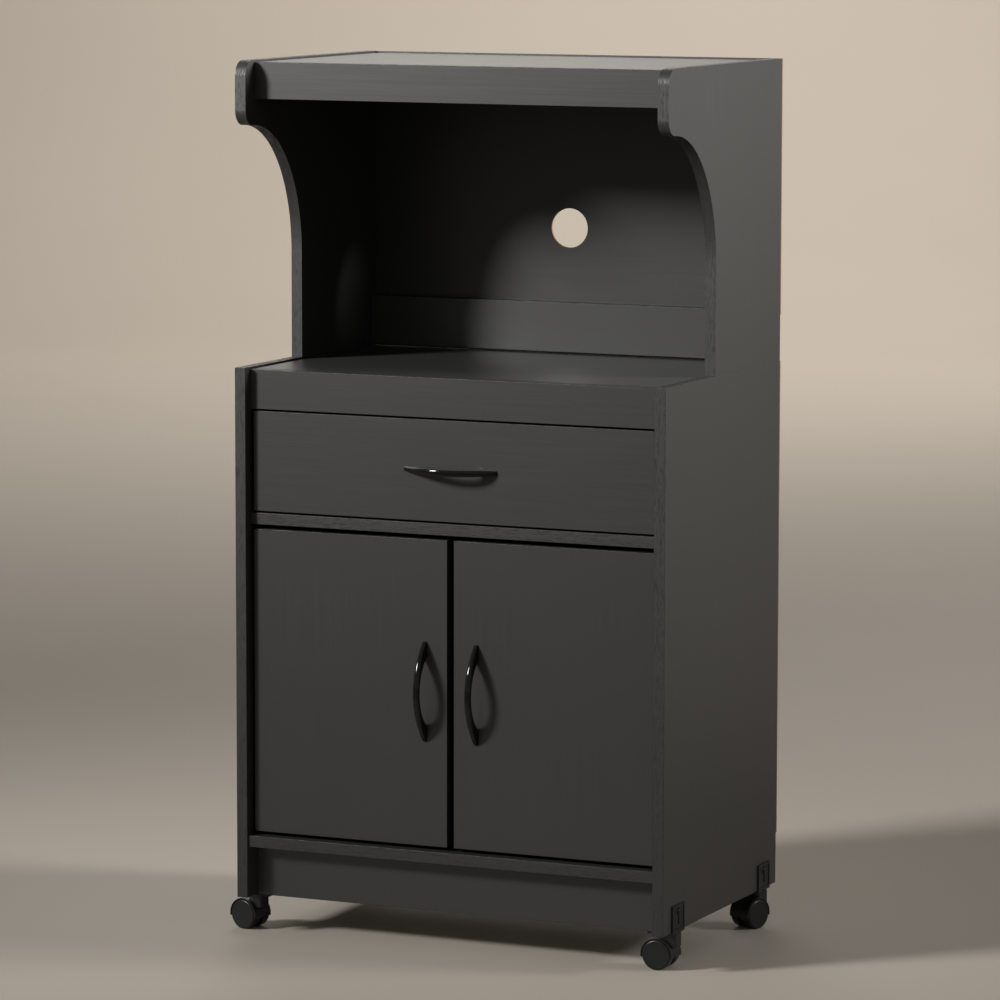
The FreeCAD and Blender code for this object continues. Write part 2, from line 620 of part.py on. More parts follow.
def hood():
    """Fender over both wheels, boss, and a web between the wheels that carries their pin."""
    outer = HOOD_INNER + HOOD_SHEET
    fender = arch(outer, HOOD_WIDTH).fuse(boss()).cut(arch(HOOD_INNER, HOOD_WIDTH))
    pin_reach = WHEEL_INNER + WHEEL_BORE_DEPTH - AXLE_END_GAP
    pin = many_sided(AXLE_RADIUS, AXLE_SIDES, 2 * pin_reach)
    body = fender.fuse([arch(outer, WEB_WIDTH), many_sided(HUB_RADIUS, HUB_SIDES, WEB_WIDTH), pin])
    bore_low = V(0, 0, FLANGE_LOW - KINGPIN_LENGTH - SWIVEL_GAP)
    return body.cut(rod(KINGPIN_RADIUS + RUNNING, bore_low, Z, KINGPIN_LENGTH)).removeSplitter()


def wheel(side):
    """Wheel with a chamfered shoulder, a closed outer face and a blind bore from the web's side."""
    body = many_sided(WHEEL_RADIUS, WHEEL_SIDES, WHEEL_WIDTH, side * (WHEEL_INNER + WHEEL_WIDTH / 2))
    face = max(body.Faces, key=lambda each: side * each.CenterOfMass.y)
    body = body.makeChamfer(WHEEL_CHAMFER, face.Edges)
    bore_middle = side * (WHEEL_INNER + WHEEL_BORE_DEPTH / 2)
    return body.cut(many_sided(AXLE_BORE_RADIUS, AXLE_SIDES, WHEEL_BORE_DEPTH, bore_middle))


def build_casters():
    for name, side, end, direction in CASTERS:
        pieces = {"hood": hood(), "wheel_a": wheel(-1), "wheel_b": wheel(1)}
        for piece, shape in pieces.items():
            shape.rotate(V(0, 0, 0), Z, direction)
            shape.translate(V(side * CASTER_X, CASTER_Y[end], 0))
            save("caster_" + name + "_" + piece, shape)
    save("caster_brackets", *[caster_bracket(side, end) for name, side, end, direction in CASTERS])


os.makedirs("parts", exist_ok=True)
build_base()
build_hutch()
build_doors()
build_drawer()
build_casters()
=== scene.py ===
import json
import math

import bpy
from bpy.props import FloatProperty, FloatVectorProperty, PointerProperty
from bpy.types import Operator, Panel, PropertyGroup
from mathutils import Matrix, Vector

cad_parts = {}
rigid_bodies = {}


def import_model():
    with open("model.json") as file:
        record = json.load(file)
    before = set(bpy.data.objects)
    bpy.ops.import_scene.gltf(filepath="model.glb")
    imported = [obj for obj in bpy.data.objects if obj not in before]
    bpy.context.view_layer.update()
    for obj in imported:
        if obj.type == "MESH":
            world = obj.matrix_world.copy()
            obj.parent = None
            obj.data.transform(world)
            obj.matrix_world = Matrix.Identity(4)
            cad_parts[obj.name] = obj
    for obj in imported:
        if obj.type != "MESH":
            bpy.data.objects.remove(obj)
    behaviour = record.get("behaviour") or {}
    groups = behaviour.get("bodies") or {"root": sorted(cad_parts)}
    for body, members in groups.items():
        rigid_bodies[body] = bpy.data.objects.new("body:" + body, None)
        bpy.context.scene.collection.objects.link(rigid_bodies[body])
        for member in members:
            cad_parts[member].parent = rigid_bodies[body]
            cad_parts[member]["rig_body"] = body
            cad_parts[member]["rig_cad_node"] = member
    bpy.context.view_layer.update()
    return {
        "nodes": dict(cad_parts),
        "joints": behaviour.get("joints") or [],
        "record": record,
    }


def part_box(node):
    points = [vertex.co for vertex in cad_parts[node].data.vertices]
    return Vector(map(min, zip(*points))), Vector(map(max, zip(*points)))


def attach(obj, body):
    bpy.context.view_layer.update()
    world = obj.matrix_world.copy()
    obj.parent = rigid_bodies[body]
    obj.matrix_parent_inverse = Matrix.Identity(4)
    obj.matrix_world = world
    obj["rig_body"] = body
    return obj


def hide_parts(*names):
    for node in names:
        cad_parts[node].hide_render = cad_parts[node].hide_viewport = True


bl_info = {
    "name": "Microwave Cart",
    "version": (1, 0, 0),
    "blender": (4, 5, 0),
    "location": "3D View > Sidebar > Cart",
    "description": "Dresses a kitchen cart: laminate boards, bow handles, hinges, slides and casters",
    "category": "Mesh",
}

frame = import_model()

# Lengths are in metres.  X runs to the cart's right, Y to its back, Z up.
MM = 0.001
X, Y, Z = Vector((1, 0, 0)), Vector((0, 1, 0)), Vector((0, 0, 1))
SIDES = {"left": -1, "right": 1}
MATERIALS = {}

# CAD nodes that are like each other
CABINET_BOARDS = (
    "base_side_left", "base_side_right", "worktop", "worktop_apron", "drawer_divider",
    "bottom_board", "toe_kick", "cabinet_shelf", "hutch_top", "hutch_apron", "hutch_back_rail",
)
DRAWER_BOARDS = ("drawer_side_left", "drawer_side_right", "drawer_back")
CASTERS = ("front_left", "front_right", "rear_left", "rear_right")


# ---- settings
class CartShape(PropertyGroup):
    """Sizes of the small forms that are added to the boards and fittings."""

    board_round: FloatProperty(
        name="Board edge", description="Radius on the edges of the boards",
        default=0.6 * MM, unit="LENGTH",
    )
    metal_round: FloatProperty(
        name="Metal edge", description="Radius on the edges of sheet metal",
        default=0.25 * MM, unit="LENGTH",
    )
    handle_bar: FloatProperty(
        name="Handle bar", description="Thickness of a handle's bar at its crown",
        default=5.0 * MM, unit="LENGTH",
    )
    tread_round: FloatProperty(
        name="Tread", description="Radius on the shoulders of a wheel",
        default=2.4 * MM, unit="LENGTH",
    )
    screw_head: FloatProperty(
        name="Screw head", description="Radius of a bracket screw's head",
        default=3.8 * MM, unit="LENGTH",
    )


class CartFinish(PropertyGroup):
    """Colours of the finishes."""

    laminate: FloatVectorProperty(
        name="Laminate", description="Faces of the boards",
        default=(0.027, 0.027, 0.0262), subtype="COLOR",
    )
    band: FloatVectorProperty(
        name="Edge band", description="Edges of the boards",
        default=(0.018, 0.018, 0.0185), subtype="COLOR",
    )
    hardboard: FloatVectorProperty(
        name="Hardboard", description="Rear of the back sheets",
        default=(0.17, 0.10, 0.055), subtype="COLOR",
    )
    handle: FloatVectorProperty(
        name="Handle", description="Gloss black of the handles",
        default=(0.004, 0.004, 0.0045), subtype="COLOR",
    )
    plastic: FloatVectorProperty(
        name="Plastic", description="Caster mouldings",
        default=(0.006, 0.006, 0.007), subtype="COLOR",
    )
    wheel: FloatVectorProperty(
        name="Wheel", description="Caster wheels",
        default=(0.009, 0.0095, 0.011), subtype="COLOR",
    )
    nylon: FloatVectorProperty(
        name="Nylon", description="Rollers of the drawer slides",
        default=(0.62, 0.61, 0.57), subtype="COLOR",
    )
    steel: FloatVectorProperty(
        name="Nickel", description="Hinges and screws",
        default=(0.60, 0.59, 0.57), subtype="COLOR",
    )
    paint: FloatVectorProperty(
        name="Black paint", description="Brackets and slides",
        default=(0.004, 0.004, 0.0045), subtype="COLOR",
    )


class CartStage(PropertyGroup):
    """Camera, lights and floor."""

    lens: FloatProperty(
        name="Lens", description="Focal length",
        default=182.79, unit="CAMERA",
    )
    eye: FloatVectorProperty(
        name="Camera", description="Place of the camera",
        default=(2.70419, -5.95810, 1.38843), subtype="TRANSLATION",
    )
    turn: FloatVectorProperty(
        name="Turn", description="Turn of the camera",
        default=(math.radians(82.8235), math.radians(-0.0891), math.radians(24.5316)), subtype="EULER",
    )
    key_power: FloatProperty(
        name="Key light", description="Power of the soft light from the front left",
        default=39.0, unit="POWER",
    )
    key_spread: FloatProperty(
        name="Key spread", description="Opening of the key light's beam",
        default=math.radians(50), subtype="ANGLE",
    )
    side_power: FloatProperty(
        name="Side light", description="Power of the soft light on the cart's right side",
        default=30.0, unit="POWER",
    )
    side_spread: FloatProperty(
        name="Side spread", description="Opening of the side light's beam",
        default=math.radians(44), subtype="ANGLE",
    )
    back_power: FloatProperty(
        name="Back light", description="Power of the soft light behind the cart",
        default=34.0, unit="POWER",
    )
    wall_power: FloatProperty(
        name="Wall light", description="Power of the light on the wall behind the cart",
        default=250.0, unit="POWER",
    )
    sky: FloatVectorProperty(
        name="Surroundings", description="Colour of the light from all round",
        default=(0.25, 0.245, 0.235), subtype="COLOR",
    )
    floor: FloatVectorProperty(
        name="Floor", description="Colour of the floor",
        default=(0.45, 0.405, 0.35), subtype="COLOR",
    )


# ---- modelling by hand
WELD = 0.001 * MM            # corners closer than this become one
FLAT = math.radians(0.5)     # faces that meet at less become one
ALONG = 0.999                # least part of a normal that runs along an axis
CUT_ANGLE = 60               # degrees: in cut boards only sharper edges are rounded
METAL_ANGLE = 40             # degrees: the same for sheet metal and mouldings


def select_only(piece):
    """Leaves edit mode and selects one piece, which becomes the active one, or none."""
    if bpy.context.object and bpy.context.object.mode != "OBJECT":
        bpy.ops.object.mode_set(mode="OBJECT")
    bpy.ops.object.select_all(action="DESELECT")
    if piece:
        piece.select_set(True)
        bpy.context.view_layer.objects.active = piece


def edit(piece, kind, test):
    """Opens a piece in edit mode with only the faces or edges selected that pass the test."""
    select_only(piece)
    bpy.ops.object.mode_set(mode="EDIT")
    bpy.ops.mesh.select_mode(type=kind)
    bpy.ops.mesh.select_all(action="DESELECT")
    bpy.ops.object.mode_set(mode="OBJECT")
    parts = piece.data.polygons if kind == "FACE" else piece.data.edges
    for part in parts:
        part.select = test(part)
    bpy.ops.object.mode_set(mode="EDIT")


def leave_edit():
    bpy.ops.object.mode_set(mode="OBJECT")


def ends_of(piece, one_edge):
    return [piece.data.vertices[number].co for number in one_edge.vertices]


def settle(piece):
    """Puts a piece's turn, size and place into its mesh."""
    select_only(piece)
    bpy.ops.object.transform_apply(location=True, rotation=True, scale=True)
    return piece


def box(low, high):
    select_only(None)
    low, high = Vector(low), Vector(high)
    bpy.ops.mesh.primitive_cube_add(size=1, location=(low + high) / 2, scale=high - low)
    return settle(bpy.context.object)


def rod(radius, start, end, sides):
    select_only(None)
    start, end = Vector(start), Vector(end)
    middle = (start + end) / 2
    turn = (end - start).to_track_quat("Z", "Y").to_euler()
    bpy.ops.mesh.primitive_cylinder_add(
        vertices=sides, radius=radius, depth=(end - start).length, location=middle, rotation=turn
    )
    return settle(bpy.context.object)


def soften(piece, width, segments=2, angle=30):
    """Rounds every edge sharper than the angle, in degrees."""
    select_only(piece)
    bevel = piece.modifiers.new("Soften", "BEVEL")
    bevel.width = width
    bevel.segments = segments
    bevel.limit_method = "ANGLE"
    bevel.angle_limit = math.radians(angle)
    bevel.use_clamp_overlap = True
    bpy.ops.object.modifier_apply(modifier=bevel.name)
    return piece


def round_corner(piece, test, width, segments):
    """Bevels the edges that pass the test."""
    edit(piece, "EDGE", test)
    bpy.ops.mesh.bevel(offset=width, segments=segments, affect="EDGES", clamp_overlap=True)
    leave_edit()


def combine(piece, tool, operation):
    select_only(piece)
    boolean = piece.modifiers.new("Combine", "BOOLEAN")
    boolean.operation = operation
    boolean.object = tool
    boolean.solver = "EXACT"
    bpy.ops.object.modifier_apply(modifier=boolean.name)
    bpy.data.objects.remove(tool)
    return piece


def cut_away(piece, place, normal):
    """Cuts off what lies on the normal's side of a plane, and closes the cut."""
    edit(piece, "FACE", lambda face: True)
    bpy.ops.mesh.bisect(plane_co=place, plane_no=normal, use_fill=True, clear_outer=True)
    leave_edit()


def join(pieces):
    """Joins pieces into the first one."""
    select_only(pieces[0])
    for piece in pieces[1:]:
        piece.select_set(True)
    bpy.ops.object.join()
    return pieces[0]


def copy_of(piece):
    twin = piece.copy()
    twin.data = piece.data.copy()
    bpy.context.scene.collection.objects.link(twin)
    return twin


def copy_node(node):
    """A copy of a CAD node's mesh, welded, with its flat faces made whole."""
    twin = copy_of(frame["nodes"][node])
    twin.parent = None
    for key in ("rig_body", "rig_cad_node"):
        del twin[key]
    twin.data.materials.clear()
    select_only(twin)
    bpy.ops.object.mode_set(mode="EDIT")
    bpy.ops.mesh.select_all(action="SELECT")
    bpy.ops.mesh.remove_doubles(threshold=WELD)
    bpy.ops.mesh.dissolve_limited(angle_limit=FLAT)
    leave_edit()
    return twin


def finish(piece, name, body, nodes, materials, smooth=35):
    """Names a piece, gives it its materials and smooth shading, and lets it ride on its body."""
    settle(piece)
    piece.name = name
    piece.data.name = name
    for material in materials:
        piece.data.materials.append(MATERIALS[material])
    bpy.ops.object.shade_smooth_by_angle(angle=math.radians(smooth))
    weigh = piece.modifiers.new("Weigh", "WEIGHTED_NORMAL")
    weigh.keep_sharp = True
    bpy.ops.object.modifier_apply(modifier=weigh.name)
    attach(piece, body)
    if nodes:
        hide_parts(*nodes)


def body_of_node(node):
    return frame["nodes"][node]["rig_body"]


def middle_of(node):
    low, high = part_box(node)
    return (low + high) / 2


def named(entries, name):
    return next(entry for entry in entries if entry["name"] == name)


def joint(name):
    return named(frame["joints"], name)


# ---- materials
class Finish:
    """A material with its shader, and a short way to add nodes to it."""

    def __init__(self, name):
        self.material = bpy.data.materials.new(name)
        self.material.use_nodes = True
        self.nodes = self.material.node_tree.nodes
        self.links = self.material.node_tree.links
        self.shader = self.nodes["Principled BSDF"]
        self.place = self.nodes.new("ShaderNodeTexCoord").outputs["Object"]

    def set(self, **values):
        for name, value in values.items():
            self.shader.inputs[name.replace("_", " ")].default_value = value

    def noise(self, scale, detail=4.0, roughness=0.6):
        """Noise on the object's own coordinates, with its waves per metre along X, Y and Z."""
        mapping = self.nodes.new("ShaderNodeMapping")
        mapping.inputs["Scale"].default_value = scale
        self.links.new(self.place, mapping.inputs["Vector"])
        noise = self.nodes.new("ShaderNodeTexNoise")
        noise.inputs["Scale"].default_value = 1.0
        noise.inputs["Detail"].default_value = detail
        noise.inputs["Roughness"].default_value = roughness
        self.links.new(mapping.outputs["Vector"], noise.inputs["Vector"])
        return noise.outputs["Fac"]

    def ramp(self, value, stops):
        """A colour ramp; stops are pairs of place and colour."""
        ramp = self.nodes.new("ShaderNodeValToRGB")
        elements = ramp.color_ramp.elements
        while len(elements) < len(stops):
            elements.new(0.5)
        for element, (place, colour) in zip(elements, stops):
            element.position = place
            element.color = (*colour, 1.0)
        self.links.new(value, ramp.inputs["Fac"])
        return ramp.outputs["Color"]

    def stretch(self, value, low, high, new_low, new_high):
        mapped = self.nodes.new("ShaderNodeMapRange")
        sizes = zip(("From Min", "From Max", "To Min", "To Max"), (low, high, new_low, new_high))
        for name, size in sizes:
            mapped.inputs[name].default_value = size
        self.links.new(value, mapped.inputs["Value"])
        return mapped.outputs["Result"]

    def multiply(self, first, second):
        mix = self.nodes.new("ShaderNodeMix")
        mix.data_type = "RGBA"
        mix.blend_type = "MULTIPLY"
        mix.inputs["Factor"].default_value = 1.0
        self.links.new(first, mix.inputs["A"])
        self.links.new(second, mix.inputs["B"])
        return mix.outputs["Result"]

    def colour(self, output):
        self.links.new(output, self.shader.inputs["Base Color"])

    def roughness(self, output):
        self.links.new(output, self.shader.inputs["Roughness"])

    def bump(self, heights):
        """Bumps one over the other; heights are pairs of output and depth in metres."""
        normal = None
        for output, depth in heights:
            bump = self.nodes.new("ShaderNodeBump")
            bump.inputs["Distance"].default_value = depth
            self.links.new(output, bump.inputs["Height"])
            if normal:
                self.links.new(normal, bump.inputs["Normal"])
            normal = bump.outputs["Normal"]
        self.links.new(normal, self.shader.inputs["Normal"])


def shade(colour, factor):
    return tuple(channel * factor for channel in colour)


def waves(axis, along, across):
    """Waves per metre along one axis and across it."""
    return [along if number == axis else across for number in range(3)]


def laminate_face(name, colour, grain):
    """Satin melamine with a fine printed grain."""
    look = Finish(name)
    fibre = look.noise(waves(grain, 6.0, 420.0), 3.0, 0.55)
    cloud = look.noise((3.0, 3.0, 3.0), 2.0)
    pores = look.noise(waves(grain, 60.0, 1900.0), 2.0)
    tone = look.ramp(fibre, ((0.25, shade(colour, 0.97)), (0.75, shade(colour, 1.03))))
    broad = look.ramp(cloud, ((0.3, (0.96, 0.96, 0.96)), (0.7, (1.0, 1.0, 1.0))))
    look.colour(look.multiply(tone, broad))
    look.roughness(look.stretch(fibre, 0.3, 0.7, 0.355, 0.385))
    look.bump(((pores, 0.02 * MM), (fibre, 0.006 * MM)))
    return look.material


def edge_band(name, colour, thin):
    """Black ash foil; its pores run along the edge, whichever way that turns."""
    look = Finish(name)
    pores = look.noise(waves(thin, 480.0, 80.0), 4.0, 0.6)
    figure = look.noise(waves(thin, 230.0, 11.0), 3.0)
    fine = look.noise(waves(thin, 1700.0, 90.0), 2.0)
    grain = look.ramp(
        pores, ((0.34, shade(colour, 0.3)), (0.48, shade(colour, 0.95)), (0.70, shade(colour, 1.6)))
    )
    broad = look.ramp(figure, ((0.3, (0.66, 0.66, 0.66)), (0.7, (1.0, 1.0, 1.0))))
    look.colour(look.multiply(grain, broad))
    look.roughness(look.stretch(pores, 0.38, 0.62, 0.72, 0.34))
    look.bump(((fine, 0.03 * MM), (pores, 0.2 * MM)))
    return look.material


def hardboard(name, colour):
    """Raw rear of a back sheet: pressed fibre."""
    look = Finish(name)
    fibre = look.noise((260.0, 260.0, 260.0), 6.0, 0.7)
    cloud = look.noise((9.0, 9.0, 9.0), 3.0)
    tone = look.ramp(fibre, ((0.3, shade(colour, 0.7)), (0.7, shade(colour, 1.25))))
    broad = look.ramp(cloud, ((0.3, (0.86, 0.84, 0.82)), (0.7, (1.0, 1.0, 1.0))))
    look.colour(look.multiply(tone, broad))
    look.roughness(look.stretch(fibre, 0.3, 0.7, 0.75, 0.9))
    look.bump(((fibre, 0.12 * MM),))
    return look.material


def moulded(name, colour, low, high, depth, specular=0.5):
    """Plastic or paint with a skin of some depth; marks move its roughness from low to high."""
    look = Finish(name)
    skin = look.noise((1400.0, 1400.0, 1400.0), 3.0)
    marks = look.noise((60.0, 60.0, 60.0), 5.0, 0.7)
    look.colour(look.ramp(marks, ((0.3, shade(colour, 0.88)), (0.7, shade(colour, 1.12)))))
    look.roughness(look.stretch(marks, 0.3, 0.7, low, high))
    look.bump(((skin, depth),))
    look.set(Specular_IOR_Level=specular)
    return look.material


def metal(name, colour, low, high):
    """Plated metal with fine drawing marks; its roughness runs from low to high."""
    look = Finish(name)
    lines = look.noise((120.0, 120.0, 1600.0), 4.0)
    marks = look.noise((90.0, 90.0, 90.0), 4.0)
    look.colour(look.ramp(marks, ((0.3, shade(colour, 0.86)), (0.7, shade(colour, 1.05)))))
    look.roughness(look.stretch(lines, 0.3, 0.7, low, high))
    look.bump(((lines, 0.01 * MM),))
    look.set(Metallic=1.0)
    return look.material


def make_materials(colours):
    """Every finish of the cart, by a plain name."""
    for number, axis in enumerate("xyz"):
        MATERIALS["face_" + axis] = laminate_face("laminate_grain_" + axis, colours.laminate, number)
        MATERIALS["band_" + axis] = edge_band("edge_band_thin_" + axis, colours.band, number)
    MATERIALS["inner"] = laminate_face("dark_foil", shade(colours.laminate, 0.8), 0)
    MATERIALS["hardboard"] = hardboard("raw_hardboard", colours.hardboard)
    MATERIALS["handle"] = moulded("gloss_black_handle", colours.handle, 0.05, 0.11, 0.002 * MM, 0.3)
    MATERIALS["plastic"] = moulded("black_moulding", colours.plastic, 0.34, 0.46, 0.03 * MM)
    MATERIALS["wheel"] = moulded("wheel_black", colours.wheel, 0.26, 0.36, 0.015 * MM, 0.35)
    MATERIALS["nylon"] = moulded("roller_nylon", colours.nylon, 0.4, 0.5, 0.02 * MM)
    MATERIALS["paint"] = moulded("black_paint", colours.paint, 0.3, 0.42, 0.03 * MM, 0.35)
    MATERIALS["steel"] = metal("nickel_plate", colours.steel, 0.22, 0.36)


# ---- boards
def axes_of(low, high):
    """The axes along which a board is longest and thinnest."""
    axes = sorted(range(3), key=lambda number: high[number] - low[number])
    return axes[2], axes[0]


def board_materials(low, high):
    """Face and band materials for a board, by the way it lies."""
    grain, thin = axes_of(low, high)
    return ["face_" + "xyz"[grain], "band_" + "xyz"[thin]]


def paint_faces(piece, test, number):
    for polygon in piece.data.polygons:
        if test(polygon):
            polygon.material_index = number


def banded(piece, low, high):
    """Gives every face that isn't one of the broad ones the second material."""
    thin = axes_of(low, high)[1]
    paint_faces(piece, lambda face: abs(face.normal[thin]) < ALONG, 1)


def make_board(node, shape):
    """A plain board with edge bands."""
    low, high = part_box(node)
    piece = soften(box(low, high), shape.board_round, segments=3)
    materials = board_materials(low, high)
    finish(piece, node + "_board", body_of_node(node), [node], materials)
    banded(piece, low, high)


NOSE_RADIUS = 20.0 * MM
NOSE_BEVEL = 0.999 * NOSE_RADIUS        # a hair less than the edge under the nose is long
NOSE_STEPS = 14
NOSE_HEIGHT = 83.0 * MM
CURVE_RISE = 170.0 * MM      # half axes of the ellipse
CURVE_REACH = 138.0 * MM
CURVE_STEPS = 192
CURVE_SMOOTH = 30            # degrees: edges under it are shaded smooth


def make_hutch_side(node, shape):
    """A side board cut out along a quarter of an ellipse, under a nose with two round corners."""
    low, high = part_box(node)
    piece = box(low, high)
    start, throat = low.y + NOSE_RADIUS, low.y + NOSE_RADIUS + CURVE_REACH
    nose_low = high.z - NOSE_HEIGHT
    curve_low = nose_low - CURVE_RISE
    # the cutting tools reach past the board by one nose radius
    left, right = low.x - NOSE_RADIUS, high.x + NOSE_RADIUS
    front, below = low.y - NOSE_RADIUS, low.z - NOSE_RADIUS
    oval = rod(1.0, (left, 0, 0), (right, 0, 0), CURVE_STEPS)
    oval.scale = (1, CURVE_REACH, CURVE_RISE)
    oval.location = (0, start, curve_low)
    combine(piece, settle(oval), "DIFFERENCE")
    combine(piece, box((left, front, below), (right, start, nose_low)), "DIFFERENCE")
    combine(piece, box((left, front, below), (right, throat, curve_low)), "DIFFERENCE")
    corners = ((low.y, high.z), (low.y, nose_low))

    def at_nose(one):
        ends = ends_of(piece, one)
        near = [abs(end.y - y) + abs(end.z - z) < MM for end in ends for y, z in corners]
        return sum(near) == 2 and abs(ends[0].x - ends[1].x) > MM

    round_corner(piece, at_nose, NOSE_BEVEL, NOSE_STEPS)
    soften(piece, shape.board_round, angle=CUT_ANGLE)
    materials = board_materials(low, high)
    finish(piece, node + "_board", "cabinet", [node], materials, CURVE_SMOOTH)
    banded(piece, low, high)


def make_cut_board(node, name, shape, face, steps=2):
    """A board with the grooves or hinge holes of its CAD node."""
    low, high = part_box(node)
    band = board_materials(low, high)[1]
    piece = soften(copy_node(node), shape.board_round, steps, CUT_ANGLE)
    finish(piece, name, body_of_node(node), [node], [face, band])
    banded(piece, low, high)


NAIL_RADIUS = 2.2 * MM
NAIL_RISE = 0.5 * MM
NAIL_ROUND = 0.2 * MM
NAIL_STEPS = 16
NAIL_SPACING = 120.0 * MM
NAIL_INSET = 7.5 * MM        # from the sheet's edge, to the middle of a board
HOLE_STEPS = 128
HOLE_REACH = 10.0 * MM       # of the cutting tool, past the sheet
SHEET_ROUND = 0.3 * MM
RAW_DEPTH = 0.5 * MM         # faces nearer than this to the rear are raw
RAW_NORMAL = 0.7             # and those whose normal runs less than this along Y
DRAWER_BOTTOM_ROUND = 0.2 * MM


def nail_row(low, high):
    """Places along a line, evenly spaced, with half a space left at each end."""
    count = max(2, round((high - low) / NAIL_SPACING))
    step = (high - low) / count
    return [low + step * (number + 0.5) for number in range(count)]


def nail_places(low, high):
    """Round the border of a sheet, in the boards behind it."""
    for x in nail_row(low.x, high.x):
        yield x, low.z + NAIL_INSET
        yield x, high.z - NAIL_INSET
    for z in nail_row(low.z + NAIL_INSET, high.z - NAIL_INSET):
        yield low.x + NAIL_INSET, z
        yield high.x - NAIL_INSET, z


def make_nails(name, low, high):
    """Flat nail heads on the rear of a back sheet."""
    first = rod(NAIL_RADIUS, (0, 0, 0), (0, NAIL_RISE, 0), NAIL_STEPS)
    soften(first, NAIL_ROUND)
    heads = []
    for x, z in nail_places(low, high):
        head = copy_of(first)
        head.location = (x, high.y, z)
        heads.append(settle(head))
    bpy.data.objects.remove(first)
    finish(join(heads), name, "cabinet", (), ["steel"])


def make_back_sheet(node, hole_radius=0, hole_z=0):
    """A thin sheet, dark in front and raw behind, with or without a round hole."""
    low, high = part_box(node)
    piece = box(low, high)
    if hole_radius:
        front, rear = low.y - HOLE_REACH, high.y + HOLE_REACH
        tool = rod(hole_radius, (0, front, hole_z), (0, rear, hole_z), HOLE_STEPS)
        combine(piece, tool, "DIFFERENCE")
    soften(piece, SHEET_ROUND)
    finish(piece, node + "_panel", "cabinet", [node], ["inner", "hardboard"])

    def is_raw(face):
        return face.center.y > high.y - RAW_DEPTH or abs(face.normal.y) < RAW_NORMAL

    paint_faces(piece, is_raw, 1)
    make_nails(node + "_nails", low, high)


# ---- screws and cams
# radius and rise of the screw heads
HANDLE_HEAD = (4.0 * MM, 1.8 * MM)
WING_HEAD = (3.4 * MM, 1.2 * MM)
ARM_HEAD = (3.6 * MM, 1.4 * MM)
SLIDE_HEAD = (3.2 * MM, 0.9 * MM)
SUPPORT_HEAD = (3.4 * MM, 1.2 * MM)
BRACKET_HEAD_RISE = 1.7 * MM
HEAD_STEPS = 32
HEAD_DOME = 0.85             # of the rise
HEAD_RECESS_HALF = 0.5       # of the radius
HEAD_RECESS_DEPTH = 0.45     # of the rise
RECESS_BAR = 0.25            # of a bar's length


def cross_recess(half, depth):
    """Two crossed bars that cut a driver's recess into a head that points along Z."""
    bars = []
    for half_x, half_y in ((half, half * RECESS_BAR), (half * RECESS_BAR, half)):
        bars.append(box((-half_x, -half_y, -depth), (half_x, half_y, depth)))
    return combine(bars[0], bars[1], "UNION")


def pan_head(radius, rise):
    """A domed screw head on the XY plane, with a cross recess."""
    head = rod(radius, (0, 0, 0), (0, 0, rise), HEAD_STEPS)
    edit(head, "EDGE", lambda one: all(end.z > rise / 2 for end in ends_of(head, one)))
    bpy.ops.mesh.bevel(offset=rise * HEAD_DOME, segments=4, affect="EDGES")
    leave_edit()
    tool = cross_recess(radius * HEAD_RECESS_HALF, rise * HEAD_RECESS_DEPTH)
    tool.location.z = rise
    return combine(head, settle(tool), "DIFFERENCE")


def aimed(piece, place, direction):
    """A copy of a piece that stands on the XY plane, moved to a place with Z along a direction."""
    twin = copy_of(piece)
    turn = direction.to_track_quat("Z", "Y").to_matrix().to_4x4()
    twin.matrix_world = Matrix.Translation(place) @ turn
    return settle(twin)


def make_heads(name, body, size, places, material="steel"):
    """Like screw heads at several places, each with its direction; size is their radius and rise."""
    first = pan_head(*size)
    heads = [aimed(first, place, direction) for place, direction in places]
    bpy.data.objects.remove(first)
    finish(join(heads), name, body, (), [material])


CAM_RADIUS = 7.5 * MM
CAM_DEPTH = 4.0 * MM
CAM_STEPS = 48
CAM_RIM = 1.1 * MM
CAM_SINK = 0.4 * MM
CAM_ROUND = 0.15 * MM
CAM_RECESS = (3.4 * MM, 2.0 * MM)       # half length of its bars, and depth
CAM_POINTER = (4.1 * MM, 6.2 * MM)      # from the middle
CAM_POINTER_HALF = 0.5 * MM
CAM_POINTER_TOP = -0.15 * MM


def make_cams():
    """Cams with a raised rim, a sunk face, a cross recess and a pointer."""
    first = rod(CAM_RADIUS, (0, 0, -CAM_DEPTH), (0, 0, 0), CAM_STEPS)
    edit(first, "FACE", lambda face: face.normal.z > ALONG)
    bpy.ops.mesh.inset(thickness=CAM_RIM, depth=-CAM_SINK)
    leave_edit()
    tool = cross_recess(*CAM_RECESS)
    tool.location.z = -CAM_SINK
    combine(first, settle(tool), "DIFFERENCE")
    soften(first, CAM_ROUND)
    start, end = CAM_POINTER
    pointer = box((start, -CAM_POINTER_HALF, -MM), (end, CAM_POINTER_HALF, CAM_POINTER_TOP))
    first = join([first, pointer])
    low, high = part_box("cam_locks")
    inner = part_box("hutch_side_right")[0].x
    cams = []
    for sign in SIDES.values():
        for y in (low.y + CAM_RADIUS, high.y - CAM_RADIUS):
            cams.append(aimed(first, Vector((sign * inner, y, (low.z + high.z) / 2)), X * -sign))
    bpy.data.objects.remove(first)
    finish(join(cams), "cam_faces", "cabinet", ["cam_locks"], ["paint"])


